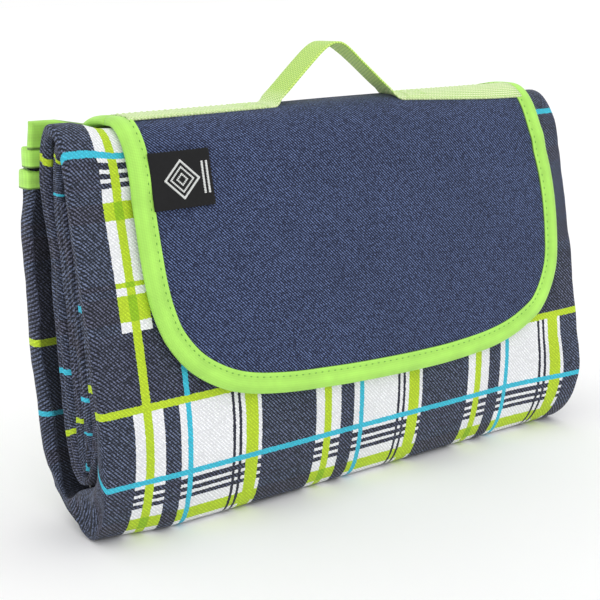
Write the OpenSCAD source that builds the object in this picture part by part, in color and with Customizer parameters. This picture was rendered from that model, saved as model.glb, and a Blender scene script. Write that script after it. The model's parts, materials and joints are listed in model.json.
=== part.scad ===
// Folded picnic mat with a carry handle.
// A padded mat is folded lengthwise, rolled up in six panels and held shut by a bound flap
// that is sewn to the rear panel, crosses the top and closes on the front with hook and loop.
// X runs along the fold, -Y is the front with the flap, +Z is up, Z = 0 is the ground.

/* [Folded mat] */
// Length of the folded mat along X
mat_length = 400; // [380:5:420]
// Height of the roll without its flap and handle
roll_top = 257; // [252:1:260]
// Distance from the middle plane to the front face at its fullest
front_bulge = 50.5; // [50:0.5:53]
// How far the front face leans back between the bulge and the shoulder
front_lean = 23; // [21:0.5:24]
// Distance from the middle plane to the outside of the rear panel
rear_reach = 52; // [50:0.5:53]
// Width of the flat on which the bottom fold rests
rest_width = 32; // [28:1:36]
// Thickness of the bottom fold
bottom_thickness = 10.5; // [9:0.5:11]
// Thickness of one of the three plies of the rear panel
ply_thickness = 5.2; // [4.8:0.1:5.4]

/* [Flap] */
// Left edge of the flap
flap_left = -157; // [-165:1:-150]
// Right edge of the flap
flap_right = 187; // [180:1:189]
// Height of the flap's lower edge
flap_bottom = 77; // [72:1:90]
// Radius of the flap's lower corners
flap_corner = 66; // [40:1:75]
// Woven cover thickness
cover_thickness = 1.0; // [0.8:0.1:1.2]
// Foam thickness inside the flap
foam_thickness = 1.4; // [1:0.1:1.6]
// Lining thickness
lining_thickness = 0.8; // [0.6:0.1:1]
// Width of the edge binding
binding_width = 12; // [10:1:14]
// Thickness of the binding tape
binding_thickness = 0.8; // [0.6:0.1:1]

/* [Webbing and handle] */
// Width of the webbing
webbing_width = 24; // [20:1:25]
// Thickness of the webbing
webbing_thickness = 1.6; // [1.2:0.1:1.8]
// Middle of the handle along X
handle_x = 7; // [0:1:15]
// Half of the distance between the handle's feet
handle_half_span = 50; // [44:1:54]
// Height of the handle above the flap
handle_rise = 39; // [34:1:44]

/* [Label] */
// Length of the label from its sewn edge
label_length = 41; // [30:1:44]
// Height of the label
label_height = 35; // [28:1:36]
// Thickness of the label
label_thickness = 0.8; // [0.6:0.1:1]

/* [Hidden] */

$fn = 32;
sliver = 0.4;                                  // clearance between neighbouring folds
bulge_z = 75;                                  // height at which the front is fullest
shoulder_z = 215;                              // height at which the roll starts to round over
flap_thickness = cover_thickness + foam_thickness + lining_thickness;
tape_thickness = 0.8;                          // hook or loop tape
flap_standoff = 2 * tape_thickness + 0.4;      // room for the closed hook and loop tapes

// Rear face of the roll, and the shares of the roll's depth where one panel ends and the next starts
roll_rear_low = 14;
roll_rear_high = 19.5;
share_front = 1 / 6;
share_inner_front = 1 / 3;
share_core = 1 / 2;
share_inner_rear = 0.73;

function front_y(z) = -front_bulge + front_lean * pow(max(0, z - bulge_z) / (shoulder_z - bulge_z), 1.3);
function rear_y(z) = roll_rear_low
    + (roll_rear_high - roll_rear_low) * pow(max(0, z - bulge_z) / (shoulder_z - bulge_z), 0.7);
function layer_y(z, share) = front_y(z) + share * (rear_y(z) - front_y(z));

// Bottom fold: two quarter ellipses with the flat rest between them
rest_rear = 8;
rest_front = rest_rear - rest_width;
front_inset = (layer_y(bulge_z, share_front) + front_bulge);
rear_thickness = 3 * ply_thickness + 2 * sliver;

// Evenly spaced numbers from a to b
function steps(a, b, n) = [for (i = [0 : n]) a + (b - a) * i / n];
function arc(cy, cz, ry, rz, a, b, n) = [for (t = steps(a, b, n)) [cy + ry * cos(t), cz + rz * sin(t)]];
function reversed(p) = [for (i = [len(p) - 1 : -1 : 0]) p[i]];
// Smooth curve through a short list of points
function spline_point(a, b, c, d, t) = 0.5 * ((2 * b) + (c - a) * t
    + (2 * a - 5 * b + 4 * c - d) * t * t + (3 * b - a - 3 * c + d) * t * t * t);
function spline(k, n) = concat(
    [for (i = [0 : len(k) - 2], j = [0 : n - 1])
        spline_point(k[max(0, i - 1)], k[i], k[i + 1], k[min(len(k) - 1, i + 2)], j / n)],
    [k[len(k) - 1]]);
// Length along a path up to each of its points
function step_to_next(p, i) = i + 1 < len(p) ? norm(p[i + 1] - p[i]) : 0;
function lengths(p) = [for (i = 0, s = 0; i < len(p); s = s + step_to_next(p, i), i = i + 1) s];
// The point of a path at a distance s from its start
function at(p, s) = let (
        d = lengths(p),
        i = max([for (k = [0 : len(p) - 2]) d[k] <= s ? k : 0]))
    p[i] + (p[i + 1] - p[i]) * (s - d[i]) / (d[i + 1] - d[i]);
// The stretch of a path between two distances
function stretch(p, s0, s1) = let (d = lengths(p)) concat(
    [at(p, s0)],
    [for (i = [0 : len(p) - 1]) if (d[i] > s0 + 0.3 && d[i] < s1 - 0.3) p[i]],
    [at(p, s1)]);
function path_length(p) = let (d = lengths(p)) d[len(d) - 1];
// The path moved sideways: a positive distance goes to the right of its direction
function shifted(p, distance) = [for (i = [0 : len(p) - 1]) let (
        a = p[max(0, i - 1)],
        b = p[min(len(p) - 1, i + 1)],
        u = (b - a) / norm(b - a))
    p[i] + distance * [u[1], -u[0]]];
function band(p, inner, outer) = concat(shifted(p, outer), reversed(shifted(p, inner)));

// Rear panel: a vertical run that leans forward over its top, from the bottom fold upward
rear_lean = 6;
rear_lean_z = 170;
function rear_face(top) = [for (z = steps(bulge_z, top, 12))
    [rear_reach - rear_lean * pow(max(0, z - rear_lean_z) / 60, 2), z]];
ply_top = [231, 246, 252];                     // outer, middle and inner ply

// Roll shoulder
shoulder_front = front_y(shoulder_z);
shoulder_rear = rear_y(shoulder_z);
shoulder_mid = (shoulder_front + shoulder_rear) / 2;
shoulder_half = (shoulder_rear - shoulder_front) / 2;
shoulder_rise = roll_top - shoulder_z;

// Outer face of the flap, from its sewn rear edge over the top and down the front
flap_offset = flap_standoff + flap_thickness;
flap_crown = roll_top + flap_thickness + 1.2;
flap_rear_knots = [
    [rear_reach + flap_thickness + 0.5, 186], [rear_reach + flap_thickness + 0.4, 199],
    [rear_reach + flap_thickness - 0.5, 213], [rear_reach + flap_thickness - 2.8, 227],
    [rear_reach - 5, 241], [38, 252.5], [25, 259], [11, 261.3], [shoulder_mid, flap_crown]
];
flap_rear_path = spline(flap_rear_knots, 5);
flap_shoulder_half = shoulder_half + flap_offset;
flap_shoulder_path = arc(shoulder_mid, shoulder_z, flap_shoulder_half, flap_crown - shoulder_z, 90, 180, 18);
flap_front_path = [for (z = steps(shoulder_z, flap_bottom, 16)) [front_y(z) - flap_offset, z]];
flap_path = concat(
    flap_rear_path,
    [for (i = [1 : len(flap_shoulder_path) - 1]) flap_shoulder_path[i]],
    [for (i = [1 : len(flap_front_path) - 1]) flap_front_path[i]]);
flap_full = path_length(flap_path);

// Creases: the fabric hinges at the rear edge of the top and at the front shoulder
crease_gap = 2.3;
crease_radius = 1.5;
rear_crease_at = path_length(spline([for (i = [0 : 3]) flap_rear_knots[i]], 5));
front_crease_at = path_length(flap_rear_path) + path_length(arc(shoulder_mid, shoulder_z,
    shoulder_half + flap_offset, flap_crown - shoulder_z, 90, 128, 8));
anchor_path = stretch(flap_path, 0, rear_crease_at - crease_gap);
top_path = stretch(flap_path, rear_crease_at + crease_gap, front_crease_at - crease_gap);
front_path = stretch(flap_path, front_crease_at + crease_gap, flap_full);
rear_crease = at(flap_path, rear_crease_at);
front_crease = at(flap_path, front_crease_at);

// Webbing lies on the crown of the flap
webbing_y = 2;
webbing_from = path_length(flap_rear_path) + (shoulder_mid - webbing_y) - webbing_width / 2;
webbing_path = shifted(stretch(flap_path, webbing_from, webbing_from + webbing_width), 0.06);
foot_gap = 2.6;

// Handle
handle_base = flap_crown + 2;
handle_taper = 13;
function handle_curve() = spline([
    [handle_x - handle_half_span, handle_base + 0.3],
    [handle_x - 0.68 * handle_half_span, handle_base + 0.41 * handle_rise],
    [handle_x - 0.34 * handle_half_span, handle_base + 0.8 * handle_rise],
    [handle_x, handle_base + handle_rise - 2.5],
    [handle_x + 0.34 * handle_half_span, handle_base + 0.8 * handle_rise],
    [handle_x + 0.68 * handle_half_span, handle_base + 0.41 * handle_rise],
    [handle_x + handle_half_span, handle_base + 0.3]], 6);

// Label: a flat tab tangent to the front of the flap near its top left
label_left = flap_left + binding_width + 0.6;
label_top_point = flap_shoulder_path[11];
label_tilt = 10.3;
label_rise = 1.7;
label_at = path_length(flap_rear_path) + path_length([for (i = [0 : 11]) flap_shoulder_path[i]]);

// Hook and loop tapes
tape_size = [60, 20];
tape_centres = [-70, 100];
tape_z = 102;

binding_colour = [0.66, 0.86, 0.32];
webbing_colour = [0.72, 0.88, 0.42];
navy = [0.19, 0.24, 0.36];
slate = [0.27, 0.28, 0.33];
black = [0.08, 0.08, 0.09];

// A YZ outline drawn out along X
module along_x(from, to, outline) {
    translate([from, 0, 0])
        rotate([90, 0, 90])
            linear_extrude(to - from)
                polygon(outline);
}

// An XZ outline drawn out through the whole depth
module through_y(outline) {
    translate([0, 150, 0])
        rotate([90, 0, 0])
            linear_extrude(300)
                polygon(outline);
}

module mat_run(outline) {
    color(slate) along_x(-mat_length / 2, mat_length / 2, outline);
}

// A straight panel of the roll between two shares of its depth
module roll_panel(share_a, share_b, low, high) {
    zs = steps(low, high, 14);
    mat_run(concat(
        [for (z = zs) [layer_y(z, share_a) + sliver / 2, z]],
        reversed([for (z = zs) [layer_y(z, share_b) - sliver / 2, z]])));
}

// A U-shaped fold that joins two panels; rise is negative for a fold at the bottom
module roll_fold(share_a, share_b, share_c, share_d, z, rise, inner_rise) {
    a = layer_y(z, share_a) + sliver / 2;
    b = layer_y(z, share_b) - sliver / 2;
    c = layer_y(z, share_c) + sliver / 2;
    d = layer_y(z, share_d) - sliver / 2;
    mat_run(concat(
        arc((a + d) / 2, z, (d - a) / 2, rise, 0, 180, 28),
        arc((b + c) / 2, z, (c - b) / 2, inner_rise, 180, 0, 20)));
}

top_thickness = 8;                             // height of each top fold
fold_clearance = 1;                            // room above each inner top fold

// Rear plies, counted from the outside
module rear_ply(i) {
    face = rear_face(ply_top[i] - binding_thickness);
    out = -i * (ply_thickness + sliver);
    mat_run(band(face, out - ply_thickness, out));
}
// A U of tape over a ply's top edge
module rear_edge_binding(i) {
    face = rear_face(ply_top[i]);
    full = path_length(face);
    out = -i * (ply_thickness + sliver);
    lip = 0.15;
    color(binding_colour) difference() {
        along_x(-mat_length / 2, mat_length / 2,
            band(stretch(face, full - binding_width, full), out - ply_thickness - lip, out + lip));
        along_x(-mat_length, mat_length,
            band(rear_face(ply_top[i] - binding_thickness), out - ply_thickness, out));
    }
}
module rear_ply_outer() { rear_ply(0); }
module rear_ply_middle() { rear_ply(1); }
module rear_ply_inner() { rear_ply(2); }
module rear_edge_binding_outer() { rear_edge_binding(0); }
module rear_edge_binding_middle() { rear_edge_binding(1); }
module rear_edge_binding_inner() { rear_edge_binding(2); }

// The lowest fold, from the foot of the rear panel round to the foot of the front panel
module bottom_fold() {
    z = bulge_z - sliver;
    mat_run(concat(
        arc(rest_rear, z, rear_reach - rest_rear, z, 0, -90, 16),
        arc(rest_front, z, front_bulge + rest_front, z, -90, -180, 16),
        arc(rest_front, z, front_bulge + rest_front - front_inset, z - bottom_thickness, 180, 270, 16),
        arc(rest_rear, z, rear_reach - rest_rear - rear_thickness, z - bottom_thickness, 270, 360, 16)));
}
module front_panel() { roll_panel(0, share_front, bulge_z, shoulder_z - sliver); }
module top_fold() {
    roll_fold(0, share_front, share_inner_rear, 1, shoulder_z, shoulder_rise, shoulder_rise - top_thickness);
}
module inner_rear_panel() { roll_panel(share_inner_rear, 1, bulge_z, shoulder_z - sliver); }
module inner_bottom_fold() {
    depth = bulge_z - bottom_thickness - 2;
    roll_fold(share_front, share_inner_front, share_inner_rear, 1, bulge_z - sliver, -depth, 9 - depth);
}
module inner_front_panel() { roll_panel(share_front, share_inner_front, bulge_z, shoulder_z - sliver); }
module inner_top_fold() {
    rise = shoulder_rise - top_thickness - fold_clearance;
    inside_rise = rise - top_thickness;
    roll_fold(share_front, share_inner_front, share_core, share_inner_rear, shoulder_z, rise, inside_rise);
}
module core_rear_panel() { roll_panel(share_core, share_inner_rear, bulge_z, shoulder_z - sliver); }
module core_fold() {
    depth = bulge_z - bottom_thickness - 13;
    fold_z = bulge_z - sliver;
    roll_fold(share_inner_front, share_core, share_core, share_inner_rear, fold_z, -depth, 10 - depth);
}
// The end of the mat at the middle of the roll, with a round top edge
module core_front_panel() {
    a = layer_y(shoulder_z, share_inner_front) + sliver / 2;
    b = layer_y(shoulder_z, share_core) - sliver / 2;
    rise = shoulder_rise - 2 * (top_thickness + fold_clearance) - 2;
    zs = steps(bulge_z, shoulder_z, 14);
    mat_run(concat(
        [for (z = zs) [layer_y(z, share_inner_front) + sliver / 2, z]],
        arc((a + b) / 2, shoulder_z, (b - a) / 2, rise, 170, 10, 10),
        reversed([for (z = zs) [layer_y(z, share_core) - sliver / 2, z]])));
}

// XZ outline of the flap with its rounded lower corners, drawn in by inset
function flap_outline(inset, top) = let (
        r = flap_corner - inset,
        l = flap_left + flap_corner,
        r_x = flap_right - flap_corner,
        z = flap_bottom + flap_corner)
    concat(arc(l, z, r, r, 180, 270, 14), arc(r_x, z, r, r, 270, 360, 14),
        [[flap_right - inset, top], [flap_left + inset, top]]);

// One layer of the flap: a stretch of its path between two depths, cut to the outline
module flap_layer(path, from, to) {
    intersection() {
        along_x(flap_left, flap_right, band(path, -to, -from));
        through_y(flap_outline(binding_thickness, 300));
    }
}

// U-shaped tape round the free edges of a stretch of the flap
module flap_tape(path) {
    difference() {
        intersection() {
            along_x(flap_left, flap_right,
                band(path, -flap_thickness - binding_thickness, binding_thickness));
            through_y(flap_outline(0, 300));
        }
        through_y(flap_outline(binding_width, 400));
        intersection() {
            along_x(flap_left, flap_right, band(path, -flap_thickness, 0));
            through_y(flap_outline(binding_thickness, 300));
        }
    }
}

module flap_front_cover() {
    color(navy) flap_layer(front_path, 0, cover_thickness);
}
module flap_front_foam() {
    color("dimgray") flap_layer(front_path, cover_thickness, cover_thickness + foam_thickness);
}
module flap_front_lining() {
    color(black) flap_layer(front_path, cover_thickness + foam_thickness, flap_thickness);
}
module flap_front_binding() {
    color(binding_colour) flap_tape(stretch(front_path, 1.2, path_length(front_path)));
}
module flap_top_cover() {
    color(navy) flap_layer(top_path, 0, cover_thickness);
}
module flap_top_foam() {
    color("dimgray") flap_layer(top_path, cover_thickness, cover_thickness + foam_thickness);
}
module flap_top_lining() {
    color(black) flap_layer(top_path, cover_thickness + foam_thickness, flap_thickness);
}
module flap_top_binding() {
    color(binding_colour) flap_tape(stretch(top_path, 1.2, path_length(top_path) - 1.2));
}

// The strip of the flap that is sewn to the rear panel
anchor_inner = cover_thickness + foam_thickness;
module flap_anchor_cover() {
    color(navy) flap_layer(anchor_path, 0, anchor_inner);
}
module flap_anchor_lining() {
    color(black) flap_layer(anchor_path, anchor_inner, flap_thickness);
}
module flap_anchor_binding() {
    hem = stretch(anchor_path, 0, binding_width);
    tape = shifted(hem, binding_thickness);
    color(binding_colour) along_x(flap_left + binding_thickness, flap_right - binding_thickness,
        concat(tape, reversed(hem)));
}
// Two rows of lockstitch that hold the anchor
module flap_anchor_stitches() {
    pitch = 8;
    rows = [15.5, 20];
    color(binding_colour)
        for (row = rows, x = [flap_left + 10 : pitch : flap_right - 12]) {
            p = at(anchor_path, row);
            translate([x, p[0] + 0.08, p[1] - 0.35]) cube([5, 0.5, 0.7]);
        }
}

// Rounded creases where the flap bends
module crease(place) {
    translate([flap_left + binding_thickness, place[0], place[1]])
        rotate([0, 90, 0])
            cylinder(r = crease_radius, h = flap_right - flap_left - 2 * binding_thickness);
}
module flap_rear_crease() { color(navy) crease(rear_crease); }
module flap_front_crease() { color(navy) crease(front_crease); }

// Webbing sewn flat across the crown on each side of the handle
module webbing_run(from, to) {
    color(webbing_colour) along_x(from, to, band(webbing_path, 0, webbing_thickness));
}
webbing_left_end = flap_left + binding_width;
webbing_right_end = flap_right - binding_width;
foot_left = handle_x - handle_half_span - foot_gap;
foot_right = handle_x + handle_half_span + foot_gap;
module webbing_left() { webbing_run(webbing_left_end, foot_left); }
module webbing_right() { webbing_run(foot_right, webbing_right_end); }

// A row of stitches along each edge of the webbing
module webbing_stitches() {
    edge = 2.2;
    pitch = 6;
    runs = [[webbing_left_end + 3, foot_left - 22], [foot_right + 22, webbing_right_end - 6]];
    color(slate)
        for (s = [edge, webbing_width - edge], run = runs, x = [run[0] : pitch : run[1]]) {
            p = shifted(stretch(webbing_path, s - 0.6, s + 0.6), webbing_thickness);
            along_x(x, x + 3.4, band([p[0], p[len(p) - 1]], 0.03, 0.5));
        }
}

// A box of stitches at each foot of the handle
module handle_bar_tacks() {
    box_long = 16;
    line = 1.1;
    color(slate)
        for (x = [foot_left - box_long - 3, foot_right + 3]) {
            for (s = [3, webbing_width - 3]) {
                p = shifted(stretch(webbing_path, s - line / 2, s + line / 2), webbing_thickness);
                along_x(x, x + box_long, band([p[0], p[len(p) - 1]], 0.03, 0.55));
            }
            for (end = [x, x + box_long - line]) {
                across = shifted(stretch(webbing_path, 4, webbing_width - 4), webbing_thickness);
                along_x(end, end + line, band(across, 0.03, 0.55));
            }
        }
}

// Carry handle: one loop of the same webbing, narrowed at its feet where it twists
module handle_webbing() {
    half = webbing_width / 2;
    foot = 2;
    color(webbing_colour) intersection() {
        translate([0, webbing_y + half, 0])
            rotate([90, 0, 0])
                linear_extrude(webbing_width)
                    polygon(band(handle_curve(), -webbing_thickness / 2, webbing_thickness / 2));
        along_x(handle_x - 80, handle_x + 80, [
            [webbing_y - foot, handle_base + 0.3], [webbing_y + foot, handle_base + 0.3],
            [webbing_y + half, handle_base + handle_taper], [webbing_y + half, 320],
            [webbing_y - half, 320], [webbing_y - half, handle_base + handle_taper]]);
    }
}

// Hook tapes on the lining, loop tapes on the front panel
module tapes(path, inner, outer) {
    half_z = tape_size[1] / 2;
    intersection() {
        along_x(flap_left, flap_right, band(path, inner, outer));
        for (x = tape_centres)
            translate([x - tape_size[0] / 2, -100, tape_z - half_z]) cube([tape_size[0], 100, tape_size[1]]);
    }
}
front_face = [for (z = steps(shoulder_z - 1, bulge_z, 14)) [front_y(z) + sliver / 2, z]];
module loop_tapes() { color(black) tapes(front_face, 0.05, 0.05 + tape_thickness); }
module hook_tapes() {
    color(black) tapes(front_path, -flap_thickness - tape_thickness, -flap_thickness);
}

// Places a flat piece on the label's plane: x away from the seam, z up the slope
module on_label_plane() {
    translate([label_left, label_top_point[0], label_top_point[1]])
        rotate([-label_tilt, 0, 0])
            translate([0, -label_rise, -label_height])
                children();
}
// Folded edge of the label, caught under the stitches beside the binding
module label_seam() {
    color(black) along_x(label_left - 0.2, label_left + 1.9,
        band(stretch(flap_path, label_at + 0.5, label_at + label_height), 0.05, 0.85));
}
module label() {
    color(black) on_label_plane()
        translate([3, -label_thickness, 0]) cube([label_length - 3, label_thickness, label_height]);
}
// Generic woven device: a diamond in a diamond over two bars
module label_emblem() {
    thread = 0.35;
    size = 9.5;
    color("white") on_label_plane()
        translate([label_length * 0.45, -label_thickness, label_height / 2])
            rotate([90, 0, 0])
                linear_extrude(thread) {
                    difference() {
                        circle(r = size, $fn = 4);
                        circle(r = size - 2, $fn = 4);
                    }
                    circle(r = 3.6, $fn = 4);
                    for (x = [12, 15])
                        translate([x, -7]) square([1.3, 14]);
                }
}

rear_ply_outer();
rear_ply_middle();
rear_ply_inner();
rear_edge_binding_outer();
rear_edge_binding_middle();
rear_edge_binding_inner();
bottom_fold();
front_panel();
top_fold();
inner_rear_panel();
inner_bottom_fold();
inner_front_panel();
inner_top_fold();
core_rear_panel();
core_fold();
core_front_panel();
loop_tapes();
flap_anchor_cover();
flap_anchor_lining();
flap_anchor_binding();
flap_anchor_stitches();
flap_rear_crease();
flap_top_cover();
flap_top_foam();
flap_top_lining();
flap_top_binding();
webbing_left();
webbing_right();
webbing_stitches();
handle_bar_tacks();
flap_front_crease();
handle_webbing();
flap_front_cover();
flap_front_foam();
flap_front_lining();
flap_front_binding();
hook_tapes();
label_seam();
label();
label_emblem();
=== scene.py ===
"""Looks for the folded picnic mat: plaid roll, bound flap, webbing handle, label, floor, light and camera.

Lengths are worked out in millimetres in the frame's own axes and turned into metres when a mesh is made.
"""

import json
import math

import bmesh
import bpy
import numpy as np
from mathutils import Matrix, Vector


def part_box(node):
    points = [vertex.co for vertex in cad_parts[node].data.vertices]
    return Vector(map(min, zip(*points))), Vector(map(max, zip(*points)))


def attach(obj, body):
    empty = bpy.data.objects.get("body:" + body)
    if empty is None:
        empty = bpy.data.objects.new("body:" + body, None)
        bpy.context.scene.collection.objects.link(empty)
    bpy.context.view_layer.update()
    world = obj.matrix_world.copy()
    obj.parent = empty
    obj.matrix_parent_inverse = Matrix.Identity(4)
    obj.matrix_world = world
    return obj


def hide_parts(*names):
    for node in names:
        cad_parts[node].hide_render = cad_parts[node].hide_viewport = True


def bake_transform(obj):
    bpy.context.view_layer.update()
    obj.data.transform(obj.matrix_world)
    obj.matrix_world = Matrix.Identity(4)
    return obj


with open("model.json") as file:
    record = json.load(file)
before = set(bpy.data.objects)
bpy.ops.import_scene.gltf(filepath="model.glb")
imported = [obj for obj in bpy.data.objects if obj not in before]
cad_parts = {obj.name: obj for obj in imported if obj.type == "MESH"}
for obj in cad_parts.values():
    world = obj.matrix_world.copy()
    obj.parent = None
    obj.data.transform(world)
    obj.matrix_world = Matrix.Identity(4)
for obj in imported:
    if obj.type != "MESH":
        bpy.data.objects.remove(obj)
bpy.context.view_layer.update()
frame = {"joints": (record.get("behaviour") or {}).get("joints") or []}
MM = 0.001
# Millimetres of cloth for one unit of the UV layer
UV_UNIT = 100.0


# ---------------------------------------------------------------- measures taken from the frame

def edge(node, corner, axis):
    """One side of a CAD node's box in millimetres: corner 0 is the lowest, 1 the highest."""
    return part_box(node)[corner][axis] / MM


HALF_LENGTH = edge("front_panel", 1, 0)
BULGE = -edge("front_panel", 0, 1)
BULGE_Z = edge("front_panel", 0, 2)
SHOULDER_Z = edge("top_fold", 0, 2)
ROLL_TOP = edge("top_fold", 1, 2)
REAR = edge("rear_ply_outer", 1, 1)
FLAP_LEFT = edge("flap_front_binding", 0, 0)
FLAP_RIGHT = edge("flap_front_binding", 1, 0)
FLAP_BOTTOM = edge("flap_front_binding", 0, 2)
HANDLE_TOP = edge("handle_webbing", 1, 2)
HANDLE_LEFT = edge("handle_webbing", 0, 0)
HANDLE_RIGHT = edge("handle_webbing", 1, 0)
JOINTS = {j["name"]: j for j in frame["joints"]}

# The roll's section, as in part.scad
FRONT_LEAN = 23.0
ROLL_REAR_LOW = 14.0
ROLL_REAR_HIGH = 19.5
SHARES = {"front": 1 / 6, "inner_front": 1 / 3, "core": 1 / 2, "inner_rear": 0.73}
REAR_DEPTH = 16.4
PLY_STEP = 5.6
BOTTOM = 10.5
REST_REAR = 8.0
REST_FRONT = -24.0
# Clear space between two plies that lie on each other
PLY_GAP = 1.1
FLAP_THICKNESS = 3.2
FLAP_OFFSET = 5.2


def share_of_height(z):
    return np.maximum(0, np.asarray(z, float) - BULGE_Z) / (SHOULDER_Z - BULGE_Z)


def front_y(z):
    return -BULGE + FRONT_LEAN * share_of_height(z) ** 1.3


def rear_y(z):
    return ROLL_REAR_LOW + (ROLL_REAR_HIGH - ROLL_REAR_LOW) * share_of_height(z) ** 0.7


def layer_y(z, share):
    return front_y(z) + share * (rear_y(z) - front_y(z))


def arc(cy, cz, ry, rz, a, b, n):
    t = np.radians(np.linspace(a, b, n))
    return np.stack([cy + ry * np.cos(t), cz + rz * np.sin(t)], 1)


def upright(y_of_z, z0, z1, n):
    z = np.linspace(z0, z1, n)
    return np.stack([y_of_z(z), z], 1)


def spline(knots, n):
    """Smooth curve through knots, n points for each stretch."""
    k = np.asarray(knots, float)
    p = np.vstack([2 * k[0] - k[1], k, 2 * k[-1] - k[-2]])
    out = []
    for i in range(len(k) - 1):
        a, b, c, d = p[i:i + 4]
        for t in np.linspace(0, 1, n, endpoint=False):
            out.append(0.5 * (2 * b + (c - a) * t + (2 * a - 5 * b + 4 * c - d) * t * t
                              + (3 * b - a - 3 * c + d) * t ** 3))
    out.append(k[-1])
    return np.array(out)


def lengths(p):
    return np.concatenate([[0], np.cumsum(np.linalg.norm(np.diff(p, axis=0), axis=1))])


def smoothstep(x, a, b):
    t = np.clip((np.asarray(x, float) - a) / (b - a), 0, 1)
    return t * t * (3 - 2 * t)


def wobble(*coordinates, seed=0, octaves=3):
    """Smooth repeatable noise between about -1 and 1, from sines with fixed phases."""
    rng = np.random.default_rng(seed)
    total, weight = 0.0, 0.0
    for o in range(octaves):
        for _ in range(3):
            phase = rng.uniform(0, 2 * math.pi)
            turn = rng.uniform(0.6, 1.4, len(coordinates)) * rng.choice([-1, 1], len(coordinates))
            angle = phase
            for c, k in zip(coordinates, turn):
                angle = angle + np.asarray(c, float) * k * 2 ** o
            total = total + np.sin(angle) / 2 ** o
            weight += 1 / 2 ** o
    return total / weight * 1.6


# ---------------------------------------------------------------- mesh building

def make_object(name, vertices, faces, materials, face_material=None):
    """A smooth mesh object from points in millimetres."""
    mesh = bpy.data.meshes.new(name)
    mesh.from_pydata((np.asarray(vertices, float) * MM).tolist(), [], [list(map(int, f)) for f in faces])
    mesh.validate()
    o = bpy.data.objects.new(name, mesh)
    bpy.context.scene.collection.objects.link(o)
    for m in materials:
        mesh.materials.append(m)
    if face_material is not None:
        mesh.polygons.foreach_set("material_index", np.asarray(face_material, np.int32))
    mesh.polygons.foreach_set("use_smooth", np.full(len(mesh.polygons), True))
    mesh.update()
    return o


def closed_skin(rings, around, start=0):
    """Faces over rings of vertices stored one after the other: quads between them, then the two end caps."""
    faces = []
    for i in range(rings - 1):
        near, far = start + i * around, start + (i + 1) * around
        for j in range(around):
            k = (j + 1) % around
            faces.append((near + j, near + k, far + k, far + j))
    faces.append(tuple(start + k for k in range(around))[::-1])
    faces.append(tuple(start + (rings - 1) * around + k for k in range(around)))
    return faces


def recalculate(o):
    bm = bmesh.new()
    bm.from_mesh(o.data)
    bmesh.ops.recalc_face_normals(bm, faces=bm.faces)
    bm.to_mesh(o.data)
    bm.free()
    o.data.update()
    return o


def tube(name, rings, uv, materials, face_material=None):
    """A closed skin over rings of points (stations, points round, 3); uv has one more column than rings, so
    that the cloth's pattern has its seam between the last point of a ring and the first."""
    rings, uv = np.asarray(rings, float), np.asarray(uv, float)
    n, m = rings.shape[:2]
    corners = []
    for i in range(n - 1):
        for j in range(m):
            corners.extend((uv[i, j], uv[i, j + 1], uv[i + 1, j + 1], uv[i + 1, j]))
    corners.extend(uv[0, :m][::-1])
    corners.extend(uv[-1, :m])
    o = make_object(name, rings.reshape(-1, 3), closed_skin(n, m), materials, face_material)
    layer = o.data.uv_layers.new(name="cloth")
    layer.data.foreach_set("uv", (np.array(corners, np.float32) / UV_UNIT).ravel())
    return recalculate(o)


def dress(o, body, slot, *nodes):
    """Note the body that a piece rides on and the CAD nodes that it stands for. slot, the slot of its
    material, is not used.
    """
    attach(o, body)
    if nodes:
        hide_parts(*nodes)


# How far the outside cloth turns round onto the inside of a folded end
PLAID_TURN = 20.0
# How much of the pattern's width the rounded edge takes up, as a share of its own size
EDGE_PATTERN = 0.6


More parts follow.
